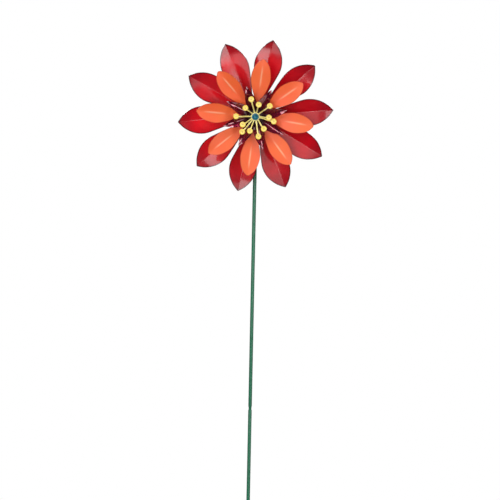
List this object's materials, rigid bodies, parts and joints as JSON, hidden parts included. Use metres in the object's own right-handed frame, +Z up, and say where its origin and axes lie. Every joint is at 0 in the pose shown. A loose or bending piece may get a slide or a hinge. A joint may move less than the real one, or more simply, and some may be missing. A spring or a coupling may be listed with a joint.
{
  "type": "garden wind spinner",
  "caption": "Garden stake with a double metal flower on top: a rear wheel of red petals and a front wheel of orange petals round a dark cup, each free to spin on one axle bolt.",
  "frame": {"origin": "where the stake enters the soil, on the pole's centre line", "axes": "+Z up along the pole, -Y the way the flower faces, +X to the right of the flower seen from its front"},
  "size_m": [0.3132, 0.0831, 1.3925],
  "materials": {
    "red_paint": "gloss red enamel",
    "orange_paint": "satin gloss coral orange enamel",
    "burgundy_paint": "high gloss burgundy enamel",
    "yellow_paint": "satin yellow enamel",
    "green_paint": "semi-gloss green enamel",
    "teal_paint": "gloss teal enamel",
    "zinc_steel": "bright zinc plate",
    "nylon": "natural white nylon"
  },
  "bodies": {
    "stake": {"lower_pole": "green_paint", "ground_fork": "green_paint"},
    "mast": {"upper_pole": "green_paint", "axle_boss": "green_paint", "axle_bolt": "zinc_steel", "jam_nut": "zinc_steel", "rear_washer": "zinc_steel", "middle_washer": "zinc_steel", "front_washer": "zinc_steel", "cap_nut": "teal_paint"},
    "rear_wheel": {"rear_hub": "green_paint", "rear_bushing_back": "nylon", "rear_bushing_front": "nylon", "red_petal_01": "red_paint", "red_petal_02": "red_paint", "red_petal_03": "red_paint", "red_petal_04": "red_paint", "red_petal_05": "red_paint", "red_petal_06": "red_paint", "red_petal_07": "red_paint", "red_petal_08": "red_paint", "red_petal_09": "red_paint", "red_petal_10": "red_paint"},
    "front_wheel": {"front_hub": "green_paint", "front_bushing_back": "nylon", "front_bushing_front": "nylon", "orange_petal_01": "orange_paint", "orange_petal_02": "orange_paint", "orange_petal_03": "orange_paint", "orange_petal_04": "orange_paint", "orange_petal_05": "orange_paint", "orange_petal_06": "orange_paint", "orange_petal_07": "orange_paint", "orange_petal_08": "orange_paint", "corolla": "burgundy_paint", "stamens": "yellow_paint"}
  },
  "joints": [
    {"name": "pole_turn", "type": "hinge", "parent": "stake", "child": "mast", "pos_m": [0, 0, 0.3865], "axis": [0, 0, 1], "continuous": true},
    {"name": "rear_wheel_spin", "type": "hinge", "parent": "mast", "child": "rear_wheel", "pos_m": [0, -0.024, 1.015], "axis": [0, -1, 0], "continuous": true},
    {"name": "front_wheel_spin", "type": "hinge", "parent": "mast", "child": "front_wheel", "pos_m": [0, -0.044, 1.015], "axis": [0, -1, 0], "continuous": true}
  ]
}
